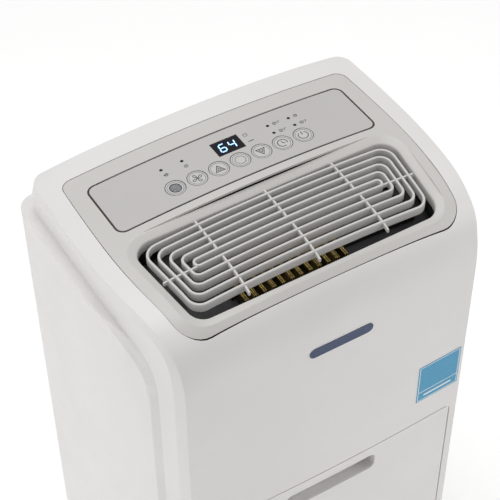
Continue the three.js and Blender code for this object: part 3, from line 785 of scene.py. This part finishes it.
def build_panel():
    outline = panel_outline(-PANEL_PLAY)
    panel = top_sheet("control_panel", outline, PANEL_DROP, PANEL_THICK, PANEL_GREY, step=3.0)
    cut_with(panel, [top_tool(outlet_loop(DISH)), top_tool(overlay_outline(OVERLAY_PLAY))])
    sharpen(panel.data)
    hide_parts("top_panel")
    dish = [(DISH, 0.0), (DISH - 0.8, -0.12), (DISH - 1.8, -0.6), (1.6, -3.4), (0.6, -4.0), (0.1, -4.9),
            (0, OUTLET_WALL)]
    behind = [(1.8, OUTLET_WALL), (DISH, -3)]
    loops = [on_top(outlet_loop(grow), PANEL_DROP + drop) for grow, drop in dish + behind]
    surround = loop_piece("outlet_surround", loops, PANEL_GREY)
    sharpen(surround.data, 40)


OVERLAY_RADIUS = 9
OUTLINE_WIDTH = 1.5                # the dark line printed round the overlay
KEY_PLAY, DISPLAY_PLAY, DISPLAY_RADIUS, LAMP_HOLE = 0.25, 0.3, 0.8, 1.75


def overlay_outline(grow):
    return round_rectangle(overlay_low.x - grow, overlay_high.x + grow, overlay_low.y - grow,
                           overlay_high.y + grow, OVERLAY_RADIUS + grow)


def key_centres():
    """Each key's X, Y, top and radius, by the name of what it does."""
    centres = {}
    for name in NODES:
        if name.endswith("_key"):
            low, high = node_mm(name)
            middle = (low + high) / 2
            centres[name.removesuffix("_key")] = (middle.x, middle.y, high.z, (high.x - low.x) / 2)
    return centres


def build_overlay():
    outline = overlay_outline(-OUTLINE_WIDTH)
    film = top_sheet("overlay_film", outline, PANEL_DROP, 1.2, OVERLAY_GREY)
    tools = [top_tool(circle(x, y, radius + KEY_PLAY, 40)) for x, y, _, radius in key_centres().values()]
    low, high, play = display_low, display_high, DISPLAY_PLAY
    tools.append(top_tool(
        round_rectangle(low.x - play, high.x + play, low.y - play, high.y + play, DISPLAY_RADIUS)))
    for name in NODES:
        if name.startswith("indicator_lamp"):
            middle = centre_of(name)
            tools.append(top_tool(circle(middle.x, middle.y, LAMP_HOLE, 16)))
    cut_with(film, tools)
    sharpen(film.data)
    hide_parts("control_overlay")
    edge = [(0.2, -0.25), (0.05, 0.02), (-1.35, 0.02), (-OUTLINE_WIDTH, -0.05), (-OUTLINE_WIDTH, -1.2),
            (0.2, -1.2)]
    loops = [on_top(overlay_outline(grow), PANEL_DROP + lift) for grow, lift in edge]
    loop_piece("overlay_outline", loops, OUTLINE_BROWN)


# ---------- printed marks ----------
def stroke_faces(points, width, closed):
    """Left and right edges of a line of this width, with mitred corners."""
    count = len(points)
    left, right = [], []
    for i in range(count):
        before = points[i - 1] if (i > 0 or closed) else points[i]
        after = points[(i + 1) % count] if (i < count - 1 or closed) else points[i]
        first = Vector((points[i][0] - before[0], points[i][1] - before[1]))
        second = Vector((after[0] - points[i][0], after[1] - points[i][1]))
        if first.length < CRUMB:
            first = second
        if second.length < CRUMB:
            second = first
        along = (first.normalized() + second.normalized()).normalized()
        side = Vector((-along.y, along.x))
        grow = 1 / max(0.5, side.dot(Vector((-first.y, first.x)).normalized()))
        reach = width / 2 * grow
        left.append((points[i][0] + side.x * reach, points[i][1] + side.y * reach))
        right.append((points[i][0] - side.x * reach, points[i][1] - side.y * reach))
    return left, right


INK = 0.12                         # thickness of a printed mark


class Print:
    """Ink shapes on a flat or curved surface, gathered into one thin solid mesh."""

    def __init__(self, place):
        self.place = place
        self.bm = bmesh.new()

    def area(self, outline):
        top = [self.bm.verts.new(self.place(u, v, INK)) for u, v in outline]
        bottom = [self.bm.verts.new(self.place(u, v, 0)) for u, v in outline]
        self.bm.faces.new(top)
        self.bm.faces.new(bottom[::-1])
        for i in range(len(outline)):
            j = (i + 1) % len(outline)
            self.bm.faces.new((top[j], top[i], bottom[i], bottom[j]))

    def line(self, points, width, closed=False):
        left, right = stroke_faces(points, width, closed)
        steps = range(len(points)) if closed else range(len(points) - 1)
        for i in steps:
            j = (i + 1) % len(points)
            self.area([right[i], right[j], left[j], left[i]])

    def ring(self, u, v, radius, width, steps=40):
        self.line(circle(u, v, radius, steps), width, closed=True)

    def finish(self, name, body, material):
        bmesh.ops.scale(self.bm, vec=Vector((MM, MM, MM)), verts=self.bm.verts)
        bmesh.ops.recalc_face_normals(self.bm, faces=self.bm.faces)
        mesh = bpy.data.meshes.new(name)
        self.bm.to_mesh(mesh)
        self.bm.free()
        obj = new_object(name, mesh, body)
        paint(obj, material)
        return obj


# Each mark is drawn round the middle of its key, in millimetres.
HATCH_LEAN, HATCH_PITCH, HATCH_RADIUS = math.radians(-62), 1.2, 5.3


def hatched_disc(ink):
    ink.ring(0, 0, 5.6, 0.9)
    direction = (math.cos(HATCH_LEAN), math.sin(HATCH_LEAN))
    side = (-direction[1], direction[0])
    for i in range(-4, 5):
        offset = i * HATCH_PITCH
        half = math.sqrt(max(0.0, HATCH_RADIUS ** 2 - offset ** 2))
        ends = [(side[0] * offset + direction[0] * half * s, side[1] * offset + direction[1] * half * s)
                for s in (-1, 1)]
        ink.line(ends, 0.62)


def fan_blades(ink):
    for quarter_turn in range(4):
        angle = quarter_turn * math.pi / 2 + 0.3
        blade = [(0.7, 0.2), (2.4, -0.9), (4.8, -1.1), (5.6, 0.3), (4.7, 1.7), (3.4, 1.4), (2.0, 0.5)]
        turned = [(u * math.cos(angle) - v * math.sin(angle), u * math.sin(angle) + v * math.cos(angle))
                  for u, v in blade]
        ink.line(turned, 0.6, closed=True)
    ink.area(circle(0, 0, 0.8, 12))


def triangle(ink, up=1):
    outer = [(-4.6, -3.4 * up), (4.6, -3.4 * up), (0, 4.4 * up)]
    inner = [(-2.0, -1.8 * up), (2.0, -1.8 * up), (0, 1.4 * up)]
    ink.line(outer, 0.8, closed=True)
    ink.line(inner, 0.6, closed=True)


def dotted_ring(ink):
    for i in range(16):
        start = i * 22.5
        ink.line(arc(0, 0, 5.2, start, start + 13, 3), 0.8)


def clock(ink):
    ink.line(arc(0, 0, 4.9, -20, 290, 26), 0.8)
    ink.line([(0, 3.0), (0, 0), (2.4, -1.2)], 0.7)


def power(ink):
    ink.line(arc(0, 0, 4.9, 125, 415, 26), 0.8)
    ink.line([(0, 1.2), (0, 5.6)], 0.8)


ICONS = {"filter": hatched_disc, "fan": fan_blades, "up": triangle, "mode": dotted_ring,
         "down": lambda ink: triangle(ink, -1), "timer": clock, "power": power}


def build_key_prints():
    for name, (x, y, z, radius) in key_centres().items():
        ink = Print(lambda u, v, lift, x=x, y=y, z=z: (x + u, y + v, z + lift))
        ICONS[name](ink)
        ink.ring(0, 0, radius - 1.6, 0.3)
        ink.finish(f"{name}_icon", f"{name}_button", ICON_SLATE)
        paint(NODES[f"{name}_key"], KEY_GREY)
        bevel(NODES[f"{name}_key"], 0.3, 2)
    marks = Print(lambda u, v, lift: top_point(u, v, PANEL_DROP + lift))
    for x, y, _, radius in key_centres().values():
        marks.ring(x, y, radius + 0.5, 0.35)
    for x, y in ((-69.0, 54.3), (-47.5, 54.4), (55.0, 62.6), (55.0, 50.4), (79.0, 62.8), (79.0, 51.0)):
        marks.ring(x, y, 1.8, 0.5, 16)
        marks.line([(x - 1.2, y - 0.9), (x + 1.2, y + 0.9)], 0.5)
    marks.line([(-71.6, 54.3), (-66.4, 54.3)], 0.6)
    for x, y in ((59.3, 62.6), (59.3, 50.4), (83.2, 51.0)):
        marks.line([(x - 1.4, y + 1.2), (x + 1.4, y + 1.2), (x - 1.0, y - 1.4)], 0.45)
    marks.ring(21.7, 62.2, 2.0, 0.45, 18)
    marks.line([(19.6, 52.2), (25.6, 52.2)], 0.8)
    marks.finish("panel_print", "casing", ICON_SLATE)


# ---------- display digits ----------
SEGMENTS = {"6": "afgedc", "4": "fgbc"}
DIGITS = ((-5.6, "6"), (5.0, "4"))
DIGIT_LEAN, DIGIT_HALF_WIDTH, DIGIT_HALF_HEIGHT, DIGIT_STROKE = 0.12, 3.0, 5.2, 1.15


def build_digits():
    z = display_high.z + 0.02
    middle = (display_low + display_high) / 2
    ink = Print(lambda u, v, lift: (middle.x + u + DIGIT_LEAN * v, middle.y + v, z + lift))
    half_w, half_h = DIGIT_HALF_WIDTH, DIGIT_HALF_HEIGHT
    for centre, digit in DIGITS:
        ends = {
            "a": ((-half_w, half_h), (half_w, half_h)), "g": ((-half_w, 0), (half_w, 0)),
            "d": ((-half_w, -half_h), (half_w, -half_h)),
            "f": ((-half_w, half_h), (-half_w, 0)), "b": ((half_w, half_h), (half_w, 0)),
            "e": ((-half_w, 0), (-half_w, -half_h)), "c": ((half_w, 0), (half_w, -half_h)),
        }
        for segment in SEGMENTS[digit]:
            (u0, v0), (u1, v1) = ends[segment]
            du, dv = (u1 - u0) * 0.12, (v1 - v0) * 0.1
            ink.line([(centre + u0 + du, v0 + dv), (centre + u1 - du, v1 - dv)], DIGIT_STROKE)
    ink.finish("display_digits", "casing", DIGIT_BLUE)


# ---------- outlet grille ----------
BAR, BAR_DEEP, BAR_TOP = 2.5, 8.5, -2.6        # width, depth and height against the panel
RIB, RIB_DEEP, RIB_SUNK = 2.0, 4.0, 1.0
BAR_SECTION = [(-0.5, -1.0), (-0.5, -0.09), (-0.38, -0.03), (-0.16, 0.0), (0.16, 0.0), (0.38, -0.03),
               (0.5, -0.09), (0.5, -1.0)]


def sweep_bar(bm, points, lift, closed, width=BAR, deep=BAR_DEEP):
    """Draws the bar's section along a line on the top."""
    rails = []
    for across_share, depth_share in BAR_SECTION:
        left, _ = stroke_faces(points, width * 2 * -across_share, closed)
        rails.append([top_point(x, y, PANEL_DROP + lift + deep * depth_share) for x, y in left])
    rings = [[bm.verts.new(rail[i]) for rail in rails] for i in range(len(points))]
    size = len(BAR_SECTION)
    count = len(rings) if closed else len(rings) - 1
    for i in range(count):
        ring, following = rings[i], rings[(i + 1) % len(rings)]
        for k in range(size):
            m = (k + 1) % size
            bm.faces.new((ring[k], ring[m], following[m], following[k]))
    if not closed:
        bm.faces.new(rings[0][::-1])
        bm.faces.new(rings[-1])


def subdivided(points, step=9.0):
    """Extra points along the long straight stretches of a closed loop."""
    result = []
    for i, (x0, y0) in enumerate(points):
        x1, y1 = points[(i + 1) % len(points)]
        parts = max(1, round(math.hypot(x1 - x0, y1 - y0) / step))
        result += [(x0 + (x1 - x0) * k / parts, y0 + (y1 - y0) * k / parts) for k in range(parts)]
    return result


LOOP_CORNERS = (13.0, 10.5, 8.5, 6.5, 3.9)     # from the outermost loop inwards
LOOP_BACK, LOOP_FRONT, LOOP_HALF = -14.9, -95.6, 128.8
LOOP_BACK_STEP, LOOP_FRONT_STEP, LOOP_HALF_STEP = 8.65, 9.5, 7.2
RIB_X = (-74.5, -0.6, 73.3)
RIB_SPANS = ((-9.0, -50.5), (-57.0, -104.5))
END_RIB_Y, END_RIB_FROM, END_RIB_TO = -57.0, 98, 134.5


def sweep_rib(bm, points):
    sweep_bar(bm, points, BAR_TOP - RIB_SUNK, False, width=RIB, deep=RIB_DEEP)


def build_grille():
    def build(bm):
        for i, corner in enumerate(LOOP_CORNERS):
            loop = slanted_loop(LOOP_BACK - LOOP_BACK_STEP * i, LOOP_FRONT + LOOP_FRONT_STEP * i,
                                LOOP_HALF - LOOP_HALF_STEP * i, corner, steps=6)
            sweep_bar(bm, subdivided(loop), BAR_TOP, True)
        for x in RIB_X:
            for start, end in RIB_SPANS:
                sweep_rib(bm, [(x, start + (end - start) * s) for s in spread(6)])
        for side in (-1, 1):
            reach = END_RIB_TO - END_RIB_FROM
            sweep_rib(bm, [(side * (END_RIB_FROM + reach * s), END_RIB_Y) for s in spread(5)])
        bmesh.ops.recalc_face_normals(bm, faces=bm.faces)
    obj = new_object("outlet_bars", to_mesh("outlet_bars", build), "casing")
    sharpen(obj.data, 50)
    weighted_normals(obj)
    settle(obj)
    paint(obj, GRILLE_GREY)
    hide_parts("outlet_grille")


# the third number is the depth of the duct's black floor, a sheet of painted shade that closes the outlet
DUCT_TOP, DUCT_BOTTOM, DUCT_SHADE_FLOOR = -8, -34, -31
FIN_COUNT, FIN_FIRST, FIN_PITCH, FIN_Y = 12, -76, 9.6, -88.5
FIN_SIZE = (4.2, 28, 12, 1)
FIN_PLACE_Y = -95                  # the fins' height is taken from the top at this Y


def build_duct():
    """The black air duct under the bars, with the gilt ends of the heat exchanger's fins. Its black walls
    line the outlet as a duct does. Its black floor is painted shade: a dark sheet that closes the opening so
    the gaps between the bars read dark.
    """
    wall = [(0.9, DUCT_TOP), (0.9, DUCT_BOTTOM), (2.4, DUCT_BOTTOM), (2.4, DUCT_TOP)]
    loops = [on_top(outlet_loop(grow), PANEL_DROP + lift) for grow, lift in wall]
    loop_piece("outlet_duct", loops, BLACK_PLASTIC)
    # painted shade: a black floor closes the duct so the opening under the bars reads dark
    floor_lift = PANEL_DROP + DUCT_SHADE_FLOOR
    floor = top_sheet("duct_shade_floor", outlet_loop(0.6), floor_lift, 1.5, BLACK_PLASTIC)
    sharpen(floor.data)

    def build(bm):
        for i in range(FIN_COUNT):
            x = FIN_FIRST + i * FIN_PITCH
            base = top_point(x, FIN_PLACE_Y, floor_lift + 1)
            place = Matrix.Translation((x, FIN_Y, base.z + 7))
            bmesh.ops.create_cube(bm, size=1.0, matrix=place @ Matrix.Diagonal(FIN_SIZE))
    fins = new_object("gilt_fins", to_mesh("gilt_fins", build, smooth=False), "casing")
    bevel(fins, 0.3, 2)
    settle(fins)
    paint(fins, GOLD_FIN)


# ---------- bucket front ----------
FRONT_INSET, FRONT_THICK = 0.4, 3.0
FRONT_COLUMNS, FRONT_ROWS = 40, 24
CUP_HALF, CUP_LOW, CUP_HIGH = 54, 295, 317     # the finger pull's mouth
CUP_WALL, CUP_FRONT = 2, -135.6


def build_bucket_front():
    """The bowed face of the bucket, with the mouth of its finger pull."""
    x0, x1 = face_low.x + FRONT_INSET, face_high.x - FRONT_INSET
    z0, z1 = face_low.z + FRONT_INSET, face_high.z - FRONT_INSET

    def build(bm):
        across_xs = [x0 + (x1 - x0) * s for s in spread(FRONT_COLUMNS)]
        heights = [z0 + (z1 - z0) * s for s in spread(FRONT_ROWS)]
        rows = [[(x, front_y(x), z) for x in across_xs] for z in heights]
        add_grid(bm, rows)
        bmesh.ops.recalc_face_normals(bm, faces=bm.faces)
    obj = new_object("bucket_front", to_mesh("bucket_front", build), "bucket")
    if obj.data.polygons[0].normal.y > 0:
        obj.data.flip_normals()
    thicken(obj, FRONT_THICK)
    settle(obj)
    mouth = round_rectangle(-CUP_HALF, CUP_HALF, CUP_LOW, CUP_HIGH, 7)
    cut_with(obj, [prism_tool(mouth, FAR_FRONT, INSIDE_FRONT, axis="Y")])
    bevel(obj, 0.9, 3, angle=50)
    settle(obj)
    sharpen(obj.data)
    weighted_normals(obj)
    settle(obj)
    paint(obj, WHITE)
    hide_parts("bucket_face")


def build_finger_cup():
    """The cup behind the mouth: an outer and an inner wall joined round the front edge."""
    wall = CUP_WALL
    rim = round_rectangle(-CUP_HALF - wall, CUP_HALF + wall, CUP_LOW - 2 * wall, CUP_HIGH + 6 * wall, 8)
    inner = round_rectangle(-CUP_HALF, CUP_HALF, CUP_LOW - wall, CUP_HIGH + 5 * wall, 6)
    back = face_high.y - 0.1
    path = [(rim, CUP_FRONT), (rim, back), (inner, back - wall), (inner, CUP_FRONT)]

    def build(bm):
        loops = [[Vector((x, y, z)) for x, z in outline] for outline, y in path]
        outside = add_loops(bm, loops[:2])
        inside = add_loops(bm, loops[2:])
        bm.faces.new(outside[1])
        bm.faces.new(inside[0])
        for i in range(len(rim)):
            j = (i + 1) % len(rim)
            bm.faces.new((outside[0][i], outside[0][j], inside[1][j], inside[1][i]))
        bmesh.ops.recalc_face_normals(bm, faces=bm.faces)
    cup = new_object("finger_cup", to_mesh("finger_cup", build), "bucket")
    sharpen(cup.data, 40)
    paint(cup, WHITE)


# ---------- label and badge ----------
PRINT_LIFT = 0.1                   # a print's back stands this far off the front
BORDER, RULE = 1.2, 0.9            # the label's margin and the width of its lines


def bowed_area(ink, x0, x1, z0, z1, parts=6):
    """A rectangle on the bowed front, in upright strips."""
    for i in range(parts):
        a, b = x0 + (x1 - x0) * i / parts, x0 + (x1 - x0) * (i + 1) / parts
        ink.area([(a, z0), (b, z0), (b, z1), (a, z1)])


def build_label():
    """A plain blue label with a border, a rule and a short bar, and no lettering."""
    label = Print(lambda u, v, lift: (u, front_y(u) - PRINT_LIFT - lift, v))
    bowed_area(label, label_low.x, label_high.x, label_low.z, label_high.z)
    piece = label.finish("blue_label", "casing", LABEL_BLUE)
    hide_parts("energy_label")
    detail = Print(lambda u, v, lift: (u, front_y(u) - PRINT_LIFT - INK - lift, v))
    left, right = label_low.x + BORDER, label_high.x - BORDER
    bottom, top = label_low.z + BORDER, label_high.z - BORDER
    band = label_low.z + 14
    bowed_area(detail, left, right, band, band + RULE)
    bowed_area(detail, left, right, top - RULE, top)
    bowed_area(detail, left, right, bottom, bottom + RULE)
    bowed_area(detail, left, left + RULE, bottom, top, 1)
    bowed_area(detail, right - RULE, right, bottom, top, 1)
    bowed_area(detail, label_low.x + 9, label_high.x - 9, label_low.z + 6.5, label_low.z + 9, 4)
    detail.finish("label_lines", "casing", LABEL_WHITE)


def build_badge():
    badge = Print(lambda u, v, lift: (u, front_y(u) - PRINT_LIFT - lift * 4, v))
    z = centre_of("name_badge").z
    half = badge_high.z - z
    left = arc(badge_low.x + half, z, half, 90, 270, 8)
    right = arc(badge_high.x - half, z, half, -90, 90, 8)
    badge.area(left + right)
    piece = badge.finish("front_badge", "casing", BADGE_NAVY)
    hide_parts("name_badge")


# ---------- CAD pieces that stay ----------
# The material and the width of the rounded edges, in millimetres.
NODE_LOOKS = {
    "display_window": (SCREEN_BLACK, 0.4), "control_board": (BOARD_GREEN, 0.2),
    "water_bucket": (BUCKET_SMOKE, 1.0), "bucket_lid": (LID_GREY, 0.8), "bucket_handle": (HANDLE_GREY, 0.9),
    "bucket_float": (FLOAT_WHITE, 1.5), "level_switch": (BLACK_PLASTIC, 0.8),
    "intake_grille": (PANEL_GREY, 0.7), "filter_frame": (BLACK_PLASTIC, 0.7),
    "filter_mesh": (FILTER_NET, 0.1), "base_pan": (ZINC, 1.0), "bulkhead": (ZINC, 0.5),
    "compressor": (COMPRESSOR_BLACK, 1.5), "evaporator_coil": (GOLD_FIN, 0.3),
    "condenser_coil": (SILVER_FIN, 0.3),
    "drip_tray": (ZINC, 0.4), "fan_scroll": (BLACK_PLASTIC, 0.8), "blower_wheel": (BLACK_PLASTIC, 0.3),
    "fan_motor": (ZINC, 1.2), "capacitor": (CAN_ALUMINIUM, 1.0), "electrical_box": (ZINC, 0.5),
    "suction_pipe": (COPPER, 0.3), "discharge_pipe": (COPPER, 0.3), "drain_outlet": (PANEL_GREY, 0.5),
    "drain_plug": (RUBBER, 0.4), "cord_inlet": (BLACK_PLASTIC, 0.5),
}
PREFIX_LOOKS = {
    "indicator_lamp": (LAMP_BLACK, 0.3), "caster_fork": (ZINC, 0.5), "caster_wheel": (BLACK_PLASTIC, 1.4),
    "case_screw": (SCREW_STEEL, 0.2),
}


def dress_node(name, material, width):
    obj = NODES[name]
    paint(obj, material)
    bevel(obj, width, 2, angle=40)
    weighted_normals(obj)


def dress_nodes():
    for name, (material, width) in NODE_LOOKS.items():
        dress_node(name, material, width)
    for prefix, (material, width) in PREFIX_LOOKS.items():
        for name in sorted(NODES):
            if name.startswith(prefix):
                dress_node(name, material, width)


# ---------- camera, floor and light ----------
CAMERA_PLACE = Vector((-0.5365, -0.8747, 1.5894))                     # metres
AZIMUTH, ELEVATION, ROLL = (math.radians(a) for a in (-31.0, 46.06, 0.44))
LENS, SENSOR = 109.64, 36.0
FLOOR_HALF = 6000                  # millimetres
FLOOR_GLOW, SKY = 0.28, 0.42
AIM = (0, 0, 0.4)


def build_camera():
    back = Vector((math.sin(AZIMUTH) * math.cos(ELEVATION), -math.cos(AZIMUTH) * math.cos(ELEVATION),
                   math.sin(ELEVATION)))
    level = Vector((math.cos(AZIMUTH), math.sin(AZIMUTH), 0))
    above = back.cross(level)
    right = level * math.cos(ROLL) - above * math.sin(ROLL)
    up = level * math.sin(ROLL) + above * math.cos(ROLL)
    data = bpy.data.cameras.new("camera")
    data.lens = LENS
    data.sensor_width = SENSOR
    camera = bpy.data.objects.new("camera", data)
    turn = Matrix((right, up, back)).transposed().to_4x4()
    camera.matrix_world = Matrix.Translation(CAMERA_PLACE) @ turn
    bpy.context.scene.collection.objects.link(camera)
    bpy.context.scene.camera = camera


def soft_box(name, place, aim, side, power):
    """A square lamp, with its side in metres and its power in watts."""
    data = bpy.data.lights.new(name, "AREA")
    data.shape = "RECTANGLE"
    data.size = side
    data.size_y = side
    data.energy = power
    light = bpy.data.objects.new(name, data)
    light.location = place
    light.rotation_euler = (Vector(aim) - Vector(place)).to_track_quat("-Z", "Y").to_euler()
    bpy.context.scene.collection.objects.link(light)


def build_studio():
    def build(bm):
        bmesh.ops.create_grid(bm, x_segments=8, y_segments=8, size=FLOOR_HALF)
    floor = bpy.data.objects.new("studio_floor", to_mesh("studio_floor", build))
    bpy.context.scene.collection.objects.link(floor)
    paint(floor, moulded("studio_floor", (0.93, 0.93, 0.93), 0.7, grain=40, strength=0.02, drift=0.005))
    glow = shader(floor.data.materials[0])
    glow.inputs["Emission Color"].default_value = (1, 1, 1, 1)
    glow.inputs["Emission Strength"].default_value = FLOOR_GLOW
    world = bpy.data.worlds.new("studio")
    bpy.context.scene.world = world
    world.use_nodes = True
    sky = world.node_tree.nodes["Background"]
    sky.inputs["Color"].default_value = (1, 0.995, 0.99, 1)
    sky.inputs["Strength"].default_value = SKY
    soft_box("box_left", (-2.2, 0.3, 1.3), AIM, 1.6, 12.5)
    soft_box("box_right", (2.0, -1.2, 1.4), AIM, 1.4, 13)
    soft_box("box_top", (0.0, 0.5, 2.6), (0, 0, 0.5), 1.4, 20)


build_casing()
build_panel()
build_overlay()
build_key_prints()
build_digits()
build_grille()
build_duct()
build_bucket_front()
build_finger_cup()
build_label()
build_badge()
dress_nodes()
build_camera()
build_studio()
bpy.context.scene.view_settings.view_transform = "Standard"
